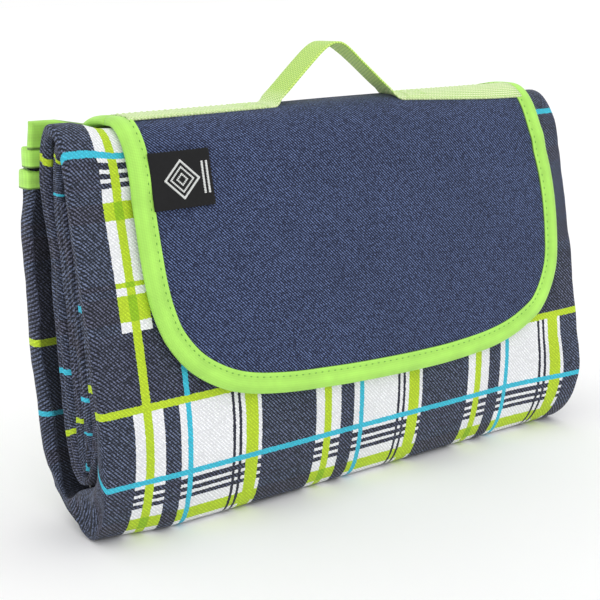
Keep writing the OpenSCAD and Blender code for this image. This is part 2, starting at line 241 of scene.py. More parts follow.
def slab(name, outer, inner, materials, x0, x1, columns, v, u_shift=0.0, reach=6.0, groove=0.0, shape=None,
         round_steps=9):
    """A folded slab: outer and inner are its two faces in the YZ plane, drawn out along X from x0 to x1,
    with rounded edges. Each of x0, x1, reach and groove is one number or one for each station. A groove
    splits the rounded edge into two plies. v is the pattern's coordinate at each station. shape(rings) may
    move the finished points. A second material is for the inner face, a third for its part near the ends."""
    outer, inner, v = np.asarray(outer, float), np.asarray(inner, float), np.asarray(v, float)
    n = len(outer)
    x0, x1, reach, groove = (np.broadcast_to(np.asarray(q, float), n) for q in (x0, x1, reach, groove))
    centre, half = (outer + inner) / 2, (outer - inner) / 2
    e = np.minimum(np.linalg.norm(half, axis=1), reach)
    low, high = x0 + e, x1 - e
    t = np.linspace(0, 1, columns)
    t = t - 0.12 * np.sin(2 * np.pi * (t - 0.5)) / np.pi
    t = (t - t[0]) / (t[-1] - t[0])
    turn = np.linspace(0, math.pi, round_steps + 2)[1:-1]
    far = t[t > 0.5]
    # ring order: inner face from the middle to the left end, round it, outer face, right end, inner face
    ring = ([("inner_left", q) for q in far] + [("left", a) for a in turn[::-1]] + [("outer", q) for q in t]
            + [("right", a) for a in turn] + [("inner_right", q) for q in far[::-1]])
    m = len(ring)
    rings = np.zeros((n, m, 3))
    uv = np.zeros((n, m + 1, 2))
    for j, (kind, q) in enumerate(ring):
        if kind in ("left", "right"):
            f = math.cos(q)
            cut = groove * math.exp(-(f / 0.24) ** 2)
            out = e * (math.sin(q) - cut)
            x = low - out if kind == "left" else high + out
            u = low - EDGE_PATTERN * e * q if kind == "left" else high + EDGE_PATTERN * e * q
        else:
            f = 1.0 if kind == "outer" else -1.0
            x = u = low + (high - low) * (1 - q if kind == "inner_left" else q)
        rings[:, j, 0] = x
        rings[:, j, 1:] = centre + half * f
        uv[:, j, 0] = u + u_shift
        uv[:, j, 1] = v
    uv[:, m] = uv[:, 0]
    if shape is not None:
        rings = shape(rings)
    turned = PLAID_TURN / (x1 - x0).mean()
    inside = [0 if kind in ("left", "right", "outer") else (1 if 1 - q > turned else 2) for kind, q in ring]
    inside = [min(a, b) for a, b in zip(inside, inside[1:] + inside[:1])] if len(materials) > 1 else [0] * m
    return tube(name, rings, uv, materials, inside * (n - 1) + [0, 0])


# ---------------------------------------------------------------- node materials

class Graph:
    """Short way to write a node tree."""

    def __init__(self, name):
        self.material = bpy.data.materials.new(name)
        self.material.use_nodes = True
        self.tree = self.material.node_tree
        self.bsdf = self.tree.nodes["Principled BSDF"]

    def add(self, kind, **settings):
        node = self.tree.nodes.new(kind)
        for key, value in settings.items():
            setattr(node, key, value)
        return node

    def plug(self, value, socket):
        if isinstance(value, bpy.types.NodeSocket):
            self.tree.links.new(value, socket)
        elif value is not None:
            socket.default_value = value

    def math(self, operation, a, b=None, c=None):
        node = self.add("ShaderNodeMath", operation=operation)
        for value, socket in zip((a, b, c), node.inputs):
            self.plug(value, socket)
        return node.outputs[0]

    def mix(self, factor, a, b):
        node = self.add("ShaderNodeMix", data_type="RGBA")
        self.plug(factor, node.inputs[0])
        self.plug(a, node.inputs[6])
        self.plug(b, node.inputs[7])
        return node.outputs[2]

    def multiply(self, a, b, factor=1.0):
        node = self.add("ShaderNodeMix", data_type="RGBA", blend_type="MULTIPLY")
        self.plug(factor, node.inputs[0])
        self.plug(a, node.inputs[6])
        self.plug(b, node.inputs[7])
        return node.outputs[2]

    def grey(self, value):
        node = self.add("ShaderNodeCombineColor")
        for socket in node.inputs[:3]:
            self.plug(value, socket)
        return node.outputs[0]

    def remap(self, value, a, b, c, d):
        node = self.add("ShaderNodeMapRange")
        for v, socket in zip((value, a, b, c, d), node.inputs[:5]):
            self.plug(v, socket)
        return node.outputs[0]

    def position(self):
        """Object coordinates in millimetres."""
        node = self.add("ShaderNodeTexCoord")
        scale = self.add("ShaderNodeVectorMath", operation="SCALE")
        self.plug(node.outputs["Object"], scale.inputs[0])
        scale.inputs["Scale"].default_value = 1 / MM
        return scale.outputs[0]

    def cloth_uv(self):
        """The cloth's own coordinates in millimetres: across and along."""
        node = self.add("ShaderNodeUVMap", uv_map="cloth")
        split = self.add("ShaderNodeSeparateXYZ")
        self.plug(node.outputs[0], split.inputs[0])
        return [self.math("MULTIPLY", split.outputs[k], UV_UNIT) for k in (0, 1)]

    def noise(self, vector, scale, detail=2.0, roughness=0.5):
        node = self.add("ShaderNodeTexNoise")
        self.plug(vector, node.inputs["Vector"])
        node.inputs["Scale"].default_value = scale
        node.inputs["Detail"].default_value = detail
        node.inputs["Roughness"].default_value = roughness
        return node.outputs["Fac"]

    def wave(self, value, period):
        """0 to 1 and back once each period."""
        turned = self.math("SINE", self.math("MULTIPLY", value, 2 * math.pi / period))
        return self.math("MULTIPLY_ADD", turned, 0.5, 0.5)

    def steps(self, value, period, stops):
        """Colour by position within a period: stops are (start, colour), in the same unit as period."""
        wrapped = self.math("DIVIDE", self.math("FLOORED_MODULO", value, period), period)
        ramp = self.add("ShaderNodeValToRGB")
        ramp.color_ramp.interpolation = "CONSTANT"
        elements = ramp.color_ramp.elements
        while len(elements) > 1:
            elements.remove(elements[-1])
        elements[0].position, elements[0].color = stops[0][0] / period, stops[0][1]
        for start, colour in stops[1:]:
            e = elements.new(start / period)
            e.color = colour
        self.plug(wrapped, ramp.inputs[0])
        return ramp.outputs[0]

    def bump(self, height, distance, strength=1.0):
        node = self.add("ShaderNodeBump")
        node.inputs["Strength"].default_value = strength
        node.inputs["Distance"].default_value = distance * MM
        self.plug(height, node.inputs["Height"])
        self.plug(node.outputs[0], self.bsdf.inputs["Normal"])

    def finish(self, colour, roughness=0.85, sheen=0.0, sheen_roughness=0.5, specular=0.3):
        self.plug(colour, self.bsdf.inputs["Base Color"])
        self.plug(roughness, self.bsdf.inputs["Roughness"])
        self.bsdf.inputs["Sheen Weight"].default_value = sheen
        self.bsdf.inputs["Sheen Roughness"].default_value = sheen_roughness
        self.bsdf.inputs["Specular IOR Level"].default_value = specular
        return self.material


def srgb(r, g, b):
    """An sRGB colour of 0 to 255 as linear RGBA."""
    def linear(c):
        c /= 255
        return c / 12.92 if c <= 0.04045 else ((c + 0.055) / 1.055) ** 2.4
    return (linear(r), linear(g), linear(b), 1.0)


SLATE = srgb(72, 77, 97)
SLATE_BLUE = srgb(76, 86, 108)
SLATE_WARM = srgb(70, 68, 82)
SLATE_DEEP = srgb(62, 66, 86)
SLATE_DARK = srgb(46, 49, 64)
PALE = srgb(250, 251, 255)
LIME = srgb(196, 226, 50)
LIME_DEEP = srgb(132, 192, 28)
CYAN = srgb(66, 200, 228)
NAVY = srgb(12, 17, 42)
NAVY_LIGHT = srgb(108, 127, 174)
BINDING = srgb(176, 236, 98)
WEBBING = srgb(240, 251, 200)
WEBBING_DEEP = srgb(160, 208, 92)
LOOP = srgb(220, 246, 128)
LOOP_DEEP = srgb(118, 190, 16)
BLACK = srgb(13, 13, 15)
OFF_WHITE = srgb(232, 234, 232)

CLEAR = (0, 0, 0, 1)
SOLID = (1, 1, 1, 1)


def bands(period, intervals):
    """Ramp stops that are white within the intervals; an interval may start below zero."""
    cuts = {0.0}
    spans = []
    for a, b in intervals:
        for shift in (-period, 0, period):
            lo, hi = max(0, a + shift), min(period, b + shift)
            if hi > lo:
                spans.append((lo, hi))
                cuts.update((lo, hi))
    stops = []
    for c in sorted(cuts):
        if c < period:
            inside = any(lo <= c < hi for lo, hi in spans)
            stops.append((c, SOLID if inside else CLEAR))
    return stops


# The plaid, in millimetres. Across: along the fold. Along: down the front panel.
PLAID_SCALE = 0.98
ACROSS = 137.0
ALONG = 202.0
WHITE_ACROSS = [(-10, 11), (22, 83.0)]
LIME_LINE_ACROSS = [(-3, 3)]
CYAN_LINE_ACROSS = [(27.2, 30.8)]
DARK_ACROSS = [(61, 63), (65.8, 67.8)]
LIME_WIDE_ACROSS = [(71, 80.8)]
WHITE_ALONG = [(1.75, 4.5), (8, 10.8), (14, 16.5), (19, 106), (155.5, 200.3)]
CYAN_LINE_ALONG = [(-1.8, 1.8)]
LIME_LINE_ALONG = [(151, 155.5)]
LIME_CELLS_ALONG = [(-46.5, 106)]
LIME_WIDE_ALONG = [(28, 39), (76, 79.5), (84, 99.5)]


def fabric_weave(g, u, v, pitch):
    """Twill: diagonal ribs broken into yarns. Returns a height between 0 and 1."""
    diagonal = g.wave(g.math("SUBTRACT", u, g.math("MULTIPLY", v, 0.9)), pitch)
    yarn = g.wave(g.math("ADD", g.math("MULTIPLY", u, 0.35), v), pitch * 0.62)
    return g.math("MULTIPLY_ADD", yarn, 0.35, g.math("MULTIPLY", diagonal, 0.65))


def plaid_material(name="plaid", tone=1.0):
    """Printed twill. tone darkens all of it: painted shade, for the copy that lies in the shadowed gaps at
    the roll's ends.
    """
    g = Graph(name)
    u, v = g.cloth_uv()
    place = g.position()
    # printed edges are a little ragged where yarns cross
    ragged = g.math("MULTIPLY_ADD", g.noise(place, 1.0, 1.0), 1.4, -0.7)
    uu = g.math("MULTIPLY_ADD", u, 1 / PLAID_SCALE, ragged)
    vv = g.math("ADD", v, ragged)

    def across(intervals):
        return g.steps(uu, ACROSS, bands(ACROSS, intervals))

    def along(intervals):
        return g.steps(vv, ALONG, bands(ALONG, intervals))

    white = g.math("MULTIPLY", across(WHITE_ACROSS), along(WHITE_ALONG))
    # the crossing stripes still show faintly where they run over the slate
    tones = g.math("MULTIPLY", along(WHITE_ALONG), 0.55)
    slate = g.mix(tones, SLATE, SLATE_BLUE)
    slate = g.mix(g.math("MULTIPLY", along(LIME_WIDE_ALONG), 0.6), slate, SLATE_WARM)
    slate = g.mix(g.math("MULTIPLY", across(WHITE_ACROSS), 0.6), slate, SLATE_DEEP)
    colour = g.mix(white, slate, PALE)
    colour = g.mix(g.math("MULTIPLY", white, along(LIME_WIDE_ALONG)), colour, LIME)
    lime_wide = g.math("MULTIPLY", across(LIME_WIDE_ACROSS), along(LIME_CELLS_ALONG))
    colour = g.mix(lime_wide, colour, LIME)
    colour = g.mix(g.math("MULTIPLY", white, across(DARK_ACROSS)), colour, SLATE_DARK)
    colour = g.mix(across(CYAN_LINE_ACROSS), colour, CYAN)
    lime_lines = g.math("MAXIMUM", across(LIME_LINE_ACROSS), along(LIME_LINE_ALONG))
    colour = g.mix(lime_lines, colour, LIME)
    crossing = g.math("MULTIPLY", across(LIME_LINE_ACROSS),
                      g.math("MULTIPLY", across(WHITE_ACROSS), along(LIME_WIDE_ALONG)))
    colour = g.mix(g.math("MULTIPLY", crossing, 0.7), colour, LIME_DEEP)
    colour = g.mix(along(CYAN_LINE_ALONG), colour, CYAN)

    weave = fabric_weave(g, u, v, 2.5)
    speckle = g.noise(place, 0.75, 2.0, 0.7)
    rib = g.remap(weave, 0.38, 0.72, 0.0, 1.0)
    pale = g.math("MULTIPLY", rib, g.remap(speckle, 0.42, 0.60, 0.15, 1.0))
    on_slate = g.math("MULTIPLY_ADD", pale, 2.6, 0.14)
    on_white = g.math("MULTIPLY_ADD", pale, 0.36, 0.78)
    light_cell = g.math("MAXIMUM", g.math("MAXIMUM", white, lime_wide),
                        g.math("MAXIMUM", lime_lines, across(CYAN_LINE_ACROSS)))
    light_cell = g.math("MAXIMUM", light_cell, along(CYAN_LINE_ALONG))
    shade = g.math("ADD", g.math("MULTIPLY", on_white, light_cell),
                   g.math("MULTIPLY", on_slate, g.math("SUBTRACT", 1.0, light_cell)))
    # random patchy soiling, multiplied by tone, which is painted shade
    soil_and_painted_shade = g.remap(g.noise(place, 0.02, 3.0), 0.35, 0.7, 0.93 * tone, 1.04 * tone)
    colour = g.multiply(colour, g.grey(g.math("MULTIPLY", shade, soil_and_painted_shade)))
    g.bump(g.math("MULTIPLY_ADD", speckle, 0.3, weave), 0.28, 0.8)
    return g.finish(colour, 0.82, sheen=0.08, specular=0.28)


def twill_material(name, base, light, pitch=2.2):
    """Two-tone twill for the flap."""
    g = Graph(name)
    u, v = g.cloth_uv()
    place = g.position()
    weave = fabric_weave(g, u, v, pitch)
    speckle = g.noise(place, 0.9, 2.0, 0.75)
    tone = g.math("MULTIPLY", g.remap(weave, 0.40, 0.72, 0.0, 1.0), g.remap(speckle, 0.42, 0.58, 0.2, 1.0))
    colour = g.mix(tone, base, light)
    worn = g.remap(g.noise(place, 0.018, 3.0), 0.35, 0.7, 0.92, 1.06)
    colour = g.multiply(colour, g.grey(worn))
    g.bump(g.math("MULTIPLY_ADD", speckle, 0.4, weave), 0.25, 0.8)
    return g.finish(colour, 0.86, sheen=0.10, specular=0.25)


def tape_material(name, base, pitch=0.9, amount=0.25, sheen=0.15):
    """Smooth folded tape with fine cross ribs, painted light and shade along its folds and a painted shadow
    along the edge where it meets the cloth.
    """
    g = Graph(name)
    u, v = g.cloth_uv()
    place = g.position()
    rib = g.wave(u, pitch)
    rib = g.math("MULTIPLY_ADD", g.wave(v, pitch * 1.6), 0.3, g.math("MULTIPLY", rib, 0.7))
    cloud = g.noise(place, 0.06, 3.0)
    shade = g.math("MULTIPLY", g.remap(rib, 0.0, 1.0, 1.0 - amount * 0.5, 1.0 + amount * 0.2),
                   g.remap(cloud, 0.3, 0.7, 0.90, 1.07))
    # painted light and shade in bands along the tape's folds
    painted_fold_light = g.remap(g.wave(g.math("ADD", v, g.math("MULTIPLY", cloud, 1.5)), 7.5), 0.0, 1.0, 0.94, 1.04)
    # painted shadow: darker along the tape's edge where it meets the cloth
    painted_edge_shadow = g.remap(v, 0.7, 1.3, 0.30, 1.0)
    colour = g.multiply(base, g.grey(g.math("MULTIPLY", g.math("MULTIPLY", shade, painted_fold_light), painted_edge_shadow)))
    g.bump(rib, 0.12, 0.7)
    return g.finish(colour, 0.6, sheen=sheen, specular=0.4)


def webbing_material(name="webbing", loop=None):
    """Ribbed webbing: cords along its length, crossed by the weft. loop is the stretch, as (start, end),
    that stands free and is deeper in colour."""
    g = Graph(name)
    u, v = g.cloth_uv()
    place = g.position()
    cord = g.wave(v, 2.0)
    weft = g.wave(g.math("ADD", u, g.math("MULTIPLY", g.math("ROUND", g.math("DIVIDE", v, 2.0)), 0.75)), 2.3)
    height = g.math("MULTIPLY", g.math("POWER", cord, 0.6), g.math("MULTIPLY_ADD", weft, 0.7, 0.3))
    raised = g.remap(height, 0.05, 0.6, 0.0, 1.0)
    shade = g.remap(g.noise(place, 0.9, 2.0), 0.3, 0.7, 0.90, 1.06)
    light, deep = WEBBING, WEBBING_DEEP
    if loop:
        start, end = loop
        rises, falls = g.remap(u, start, start + 14, 0.0, 1.0), g.remap(u, end - 14, end, 1.0, 0.0)
        free = g.math("MULTIPLY", rises, falls)
        light, deep = g.mix(free, WEBBING, LOOP), g.mix(free, WEBBING_DEEP, LOOP_DEEP)
    colour = g.multiply(g.mix(raised, deep, light), g.grey(shade))
    g.bump(height, 0.45, 0.9)
    return g.finish(colour, 0.55, sheen=0.2, specular=0.45)


def thread_material(name, base):
    g = Graph(name)
    place = g.position()
    shade = g.remap(g.noise(place, 3.0, 2.0), 0.3, 0.7, 0.82, 1.12)
    g.bump(g.noise(place, 5.0, 1.0), 0.1, 0.6)
    return g.finish(g.multiply(base, g.grey(shade)), 0.6, sheen=0.2, specular=0.4)


def label_material(name="label_weave"):
    """Dense satin label."""
    g = Graph(name)
    u, v = g.cloth_uv()
    place = g.position()
    rib = g.math("MULTIPLY_ADD", g.wave(v, 0.7), 0.6, g.math("MULTIPLY", g.wave(u, 0.9), 0.4))
    cloud = g.remap(g.noise(place, 0.3, 2.0), 0.3, 0.7, 0.85, 1.2)
    shade = g.math("MULTIPLY", g.remap(rib, 0.0, 1.0, 0.7, 1.5), cloud)
    g.bump(rib, 0.1, 0.6)
    return g.finish(g.multiply(BLACK, g.grey(shade)), 0.6, sheen=0.03, specular=0.25)


def hook_material(name="hook_and_loop"):
    g = Graph(name)
    place = g.position()
    pile = g.noise(place, 2.2, 3.0, 0.8)
    g.bump(pile, 0.6, 1.0)
    return g.finish(g.multiply(srgb(40, 41, 46), g.grey(g.remap(pile, 0.3, 0.7, 0.4, 1.5))), 0.9, sheen=0.3)


PLAID = plaid_material()
# a darker copy of the plaid: painted shade on the inner faces near the roll's ends, in the gaps between the
# folds
PLAID_PAINTED_SHADE = plaid_material("plaid_painted_shade", 0.42)
TWILL = twill_material("navy_twill", NAVY, NAVY_LIGHT)
# dark twill for the lining; on the rear plies it is painted shade
LINING_AND_PAINTED_SHADE = twill_material("lining", srgb(18, 19, 23), srgb(40, 42, 49), pitch=1.6)
TAPE = tape_material("binding_tape", BINDING)
STRAP = webbing_material()
THREAD = thread_material("thread_green", srgb(112, 168, 64))
THREAD_PALE = thread_material("thread_pale", srgb(214, 240, 168))
LABEL = label_material()
EMBLEM = thread_material("emblem_thread", OFF_WHITE)
HOOKS = hook_material()


# ---------------------------------------------------------------- the roll

def join(*parts):
    """Outlines joined end to end without their repeated points."""
    out = [parts[0]]
    for p in parts[1:]:
        out.append(p[1:])
    return np.vstack(out)


def rear_y_of(top_shift=0.0):
    """Outer face of the rear panel, leaning forward towards its top."""
    return lambda z: REAR - top_shift - 6.0 * (np.maximum(0, z - 170) / 60) ** 2


def roll_outlines():
    """The whole spiral from the rear ply's top, round six panels, to its end in the core, as pairs of
    outside and inside."""
    z0, z1 = BULGE_Z, SHOULDER_Z
    s = SHARES
    rise = ROLL_TOP - z1
    n = 44
    top = edge("rear_ply_outer", 1, 2) + 0.4
    rear_out = upright(rear_y_of(), top, z0, n)
    rear_in = rear_out - [REAR_DEPTH, 0]

    def side(a, b, up, points=n):
        """A panel between two shares of the depth: its outside is share a."""
        lo, hi = (z0, z1) if up else (z1, z0)
        return tuple(upright(lambda z: layer_y(z, share), lo, hi, points) for share in (a, b))

    def fold(z, a, b, sweep, height, count=26):
        ya, yb = layer_y(z, a), layer_y(z, b)
        return arc((ya + yb) / 2, z, (yb - ya) / 2, height, *sweep, count)

    down, over = (0, -180), (180, 0)
    bottom_out = join(arc(REST_REAR, z0, REAR - REST_REAR, z0, 0, -90, 20),
                      np.linspace([REST_REAR, 0], [REST_FRONT, 0], 9),
                      arc(REST_FRONT, z0, BULGE + REST_FRONT, z0, -90, -180, 20))
    inner_front = BULGE + REST_FRONT - (layer_y(z0, s["front"]) + BULGE)
    bottom_in = join(arc(REST_REAR, z0, REAR - REST_REAR - REAR_DEPTH, z0 - BOTTOM, 0, -90, 20),
                     np.linspace([REST_REAR, BOTTOM], [REST_FRONT, BOTTOM], 9),
                     arc(REST_FRONT, z0, inner_front, z0 - BOTTOM, -90, -180, 20))
    pairs = [
        (rear_out, rear_in),
        (bottom_out, bottom_in),
        side(0, s["front"], True),
        (fold(z1, 0, 1, over, rise), fold(z1, s["front"], s["inner_rear"], over, rise - 8)),
        side(1, s["inner_rear"], False),
        (fold(z0, s["front"], 1, down, z0 - BOTTOM - 2),
         fold(z0, s["inner_front"], s["inner_rear"], down, z0 - 21.5)),
        side(s["front"], s["inner_front"], True, 24),
        (fold(z1, s["front"], s["inner_rear"], over, rise - 9),
         fold(z1, s["inner_front"], s["core"], over, rise - 17)),
        side(s["inner_rear"], s["core"], False, 24),
        (fold(z0, s["inner_front"], s["inner_rear"], down, z0 - 23.5),
         fold(z0, s["core"] - 0.004, s["core"] + 0.004, down, z0 - 33.5)),
        side(s["inner_front"], s["core"], True, 24),
    ]
    return pairs


def panel_station(pairs, k, z):
    """Distance along the spiral at which its outline k passes height z."""
    before = sum(lengths((o + i) / 2)[-1] for o, i in pairs[:k])
    middle = (pairs[k][0] + pairs[k][1]) / 2
    return before + lengths(middle)[int(np.argmin(np.abs(middle[:, 1] - z)))]


def plaid_along(pairs, s):
    """The plaid's coordinate along the spiral. It turns back inside the folds, where another ply shows."""
    def at(k, z):
        return panel_station(pairs, k, z)
    rear_foot, front_foot = at(0, BULGE_Z), at(2, BULGE_Z)
    turn = (rear_foot + front_foot) / 2 - 14
    knots = [(0, 42), (rear_foot, 198), (turn, 289.5), (front_foot, 170.5), (at(2, SHOULDER_Z - 1), 28.6),
             (at(4, 205), -86), (at(4, 109), -202), (at(4, BULGE_Z), -236)]
    inner_foot, core_foot = at(4, BULGE_Z), at(8, BULGE_Z)
    knots += [(inner_foot + 95, -331), (at(6, BULGE_Z), -280), (at(6, SHOULDER_Z - 1), -140),
              (at(8, SHOULDER_Z - 1), 11), (core_foot, 151), (core_foot + 71, 222),
              (at(10, BULGE_Z), 183), (at(10, SHOULDER_Z), 323)]
    return np.interp(s, [k[0] for k in knots], [k[1] for k in knots])


PLAID_LEFT_LINE = -170.0
LEFT_END = -HALF_LENGTH
RIGHT_END = HALF_LENGTH


def roll_ends(s, s_wrap):
    """Where the slab's two ends are at each station: the wrap reaches furthest, and beyond s_wrap the inner
    plies are a little short of it and uneven."""
    inside = smoothstep(s, s_wrap - 20, s_wrap + 40)
    left = LEFT_END - 1.4 + inside * 2.6 + wobble(s / 70, seed=3) * (0.5 + 1.1 * inside)
    right = RIGHT_END - 0.6 - inside * 2.0 - wobble(s / 60, seed=4) * (0.5 + 1.1 * inside)
    return left, right


def lift_fold(y, z, at_end):
    """Towards the ends the wraps close up: the inner folds ride higher over a deep pinched bottom fold."""
    keep = np.interp(y, [-40, -29, -2, 25], [0.66, 0.64, 0.77, 1.0])
    limit = 100.0
    raised = limit - (limit - z) * keep
    return np.where(z < limit, z + (raised - z) * at_end, z)


def settle_roll(inner_side):
    """Soft shape of the roll: its bottom narrows to a V at the two ends, the inner folds rise there, and the
    cloth puckers. inner_side is 1 for points of the inner wraps and of the bottom fold's inside."""
    outside = 1 - inner_side

    def shape(rings):
        x, y, z = (rings[..., k].copy() for k in range(3))
        from_end = HALF_LENGTH - np.abs(x)
        at_end = 1 - smoothstep(from_end, 0, 58)
        z = z + (lift_fold(y, z, at_end) - z) * inner_side
        # the outside of the bottom rises behind a line and is pushed back in front of it
        line = np.clip((y + 17) * 0.388, 0, None)
        narrow = np.where(x < 0, 0.92, 0.45)
        z = z + outside * at_end * np.clip(line - z, 0, None) * smoothstep(y, -20, -8) * narrow
        low = np.clip((BULGE_Z - z) / BULGE_Z, 0, 1)
        y = y + at_end * 11 * low ** 1.6 * (1 - smoothstep(y, -24, -6)) * outside * (x < 0)
        # pleats round the tip of the V
        tip = np.arctan2(z + 2, y + 16)
        pleats = np.abs(np.sin(tip * 5 + 0.5 * wobble(z / 40, y / 40, seed=14))) * inner_side * outside
        bottom_end = (1 - smoothstep(from_end, 0, 9)) * (1 - smoothstep(z, 26, 46))
        x = x - np.sign(x) * bottom_end * pleats * 18
        # the top left corner stands up, the lower front swells at the right, and the right end bulges
        z = z + 5.5 * (1 - smoothstep(x, -188, -164)) * smoothstep(z, 222, 257)
        swell = np.sin(math.pi * np.clip((BULGE_Z - z) / BULGE_Z, 0, 1)) * (1 - smoothstep(y, -40, -10))
        y = y - 7.5 * swell * smoothstep(x, 130, 198) * outside
        pucker = (1 - smoothstep(from_end, 0, 30)) * 0.75
        y = y + wobble(z / 8, y / 25, seed=11) * pucker * 0.7 + wobble(z / 23, y / 14, seed=15) * pucker
        y = y + wobble(x / 55, z / 45, seed=12) * 0.5 * smoothstep(z, 8, 40)
        bulge = 2.8 * smoothstep(z, 2, 30) * (1 - smoothstep(z, 205, 238)) - 3.5 * smoothstep(z, 226, 254)
        x = x + bulge * smoothstep(x, 150, 198)
        x = x + wobble(z / 14, y / 8, seed=13) * 0.8 * (1 - smoothstep(from_end, 0, 12))
        return np.stack([x, y, z], -1)
    return shape


def build_roll():
    pairs = roll_outlines()
    outer, inner = (join(*(pair[k] for pair in pairs)) for k in (0, 1))
    centre, half = (outer + inner) / 2, (outer - inner) / 2
    size = np.linalg.norm(half, axis=1)
    half = half * ((size - PLY_GAP / 2) / size)[:, None]
    outer, inner = centre + half, centre - half
    s = lengths(centre)
    bottom_start, front_start = panel_station(pairs, 0, BULGE_Z), panel_station(pairs, 2, BULGE_Z)
    inner_start = panel_station(pairs, 4, SHOULDER_Z - 1)
    left, right = roll_ends(s, inner_start)
    # the top of the rear panel is tucked under its tape, and the bottom fold reaches furthest
    left = left + 2.4 * (1 - smoothstep(s, 12, 34))
    left = left - 1.4 * (1 - smoothstep(s, bottom_start - 40, bottom_start))
    groove = 0.28 + 0.16 * wobble(s / 90, seed=5)
    groove = groove * (1 - smoothstep(s, 0, 60) + smoothstep(s, front_start, front_start + 30))
    reach = 4.0 + 3.5 * smoothstep(s, bottom_start - 40, bottom_start + 20)
    in_bottom = (smoothstep(s, bottom_start - 12, bottom_start + 12)
                 - smoothstep(s, front_start - 12, front_start + 12))
    in_wraps = smoothstep(s, inner_start - 10, inner_start + 10)
    thickness = np.maximum(np.linalg.norm(outer - inner, axis=1)[:, None], 1e-6)

    def shape(rings):
        depth = np.linalg.norm(rings[:, :, 1:] - outer[:, None], axis=-1) / thickness
        return settle_roll(np.clip(in_bottom[:, None] * depth + in_wraps[:, None], 0, 1))(rings)
    # the third material, the darkened plaid, is painted shade on the inner faces near the ends
    roll = slab("mat_roll", outer, inner, [PLAID, LINING_AND_PAINTED_SHADE, PLAID_PAINTED_SHADE], left, right, 84,
                plaid_along(pairs, s), -PLAID_LEFT_LINE, reach=reach, groove=groove, shape=shape,
                round_steps=17)
    dress(roll, "mat", "plaid_mat", "rear_ply_outer", "bottom_fold", "front_panel", "top_fold",
          "inner_rear_panel", "inner_bottom_fold", "inner_front_panel", "inner_top_fold", "core_rear_panel",
          "core_fold", "core_front_panel")


def ply_lean(top, forward, up):
    """Beyond the flap's left edge a ply's top stands higher and leans over the roll."""
    def lean(rings):
        x, z = rings[..., 0], rings[..., 2]
        loose = 1 - smoothstep(x, LEFT_END + 14, FLAP_LEFT + 6)
        share = smoothstep(z, top - 34, top)
        rings[..., 2] = z + loose * share * up
        rings[..., 1] += -loose * share ** 2 * forward + wobble(x / 30, z / 30, seed=int(top)) * 0.4
        return rings
    return lean


def rear_ply(name, node, number, top, lean):
    """The part of the rear panel that shows above the ply outside it; the rest is inside the panel."""
    shift = number * PLY_STEP
    out = upright(rear_y_of(shift), PLY_TOPS[0] - 8, top, 20)
    inside = out - [REAR_DEPTH - shift - 0.6, 0]
    # the dark lining here is painted shade: it fills the shadowed band between the rear panel's tapes
    ply = slab(name, out, inside, [LINING_AND_PAINTED_SHADE], LEFT_END + 0.4 + 0.8 * number, RIGHT_END - 1.5, 60,
               top - out[:, 1], reach=3.5, shape=lean, round_steps=7)
    dress(ply, "mat", "plaid_mat", node)


def edge_tape(name, node, number, top, height, depth, lean):
    """Folded tape over a top edge of the rear panel: number counts the plies inwards, height is the tape's
    width outside, and depth is how far it reaches past the panel's inner face."""
    z = np.linspace(top - height, top - 2.2, 8)
    out = np.stack([rear_y_of(number * PLY_STEP)(z) + 0.9, z], 1)
    inside = np.stack([rear_y_of(0)(z) - REAR_DEPTH - depth, z], 1)
    centre, half = (out[-1] + inside[-1]) / 2, (out[-1] - inside[-1]) / 2
    for a in np.radians([25, 50, 70, 84]):
        rise = np.array([0, 3.0 * math.sin(a)])
        out = np.vstack([out, centre + half * math.cos(a) ** 0.6 + rise])
        inside = np.vstack([inside, centre - half * math.cos(a) ** 0.6 + rise])

    def shape(rings):
        x, z = rings[..., 0], rings[..., 2]
        above_edge = smoothstep(z, top - height - 2, top - height + 2)
        rings[..., 1] += wobble(x / 16, z / 20, seed=30 + number) * 0.35
        rings[..., 2] += wobble(x / 40, seed=34 + number) * 0.5 * above_edge
        return lean(rings) if lean else rings
    tape = slab(name, out, inside, [TAPE], LEFT_END - 2.6 + 0.8 * number, RIGHT_END - 0.2, 60,
                lengths((out + inside) / 2), reach=3.0, shape=shape, round_steps=7)
    dress(tape, "mat", "edge_binding", node)


build_roll()
LAYERS = ("outer", "middle", "inner")
PLY_TOPS = [edge(f"rear_edge_binding_{layer}", 1, 2) - 0.2 for layer in LAYERS]
PLY_LEANS = [None, ply_lean(PLY_TOPS[1], -3.0, 0.5), ply_lean(PLY_TOPS[2], 3.5, 12.0)]
TAPE_HEIGHTS = (11.5, 12, 13)
TAPE_DEPTHS = (0.7, 4.0, 0.7)
rear_ply("rear_ply_second", "rear_ply_middle", 1, PLY_TOPS[1] - 1, PLY_LEANS[1])
rear_ply("rear_ply_third", "rear_ply_inner", 2, PLY_TOPS[2] - 1, PLY_LEANS[2])
for number, layer in enumerate(LAYERS):
    edge_tape(f"rear_tape_{layer}", f"rear_edge_binding_{layer}", number, PLY_TOPS[number],
              TAPE_HEIGHTS[number], TAPE_DEPTHS[number], PLY_LEANS[number])


# ---------------------------------------------------------------- the flap's surface

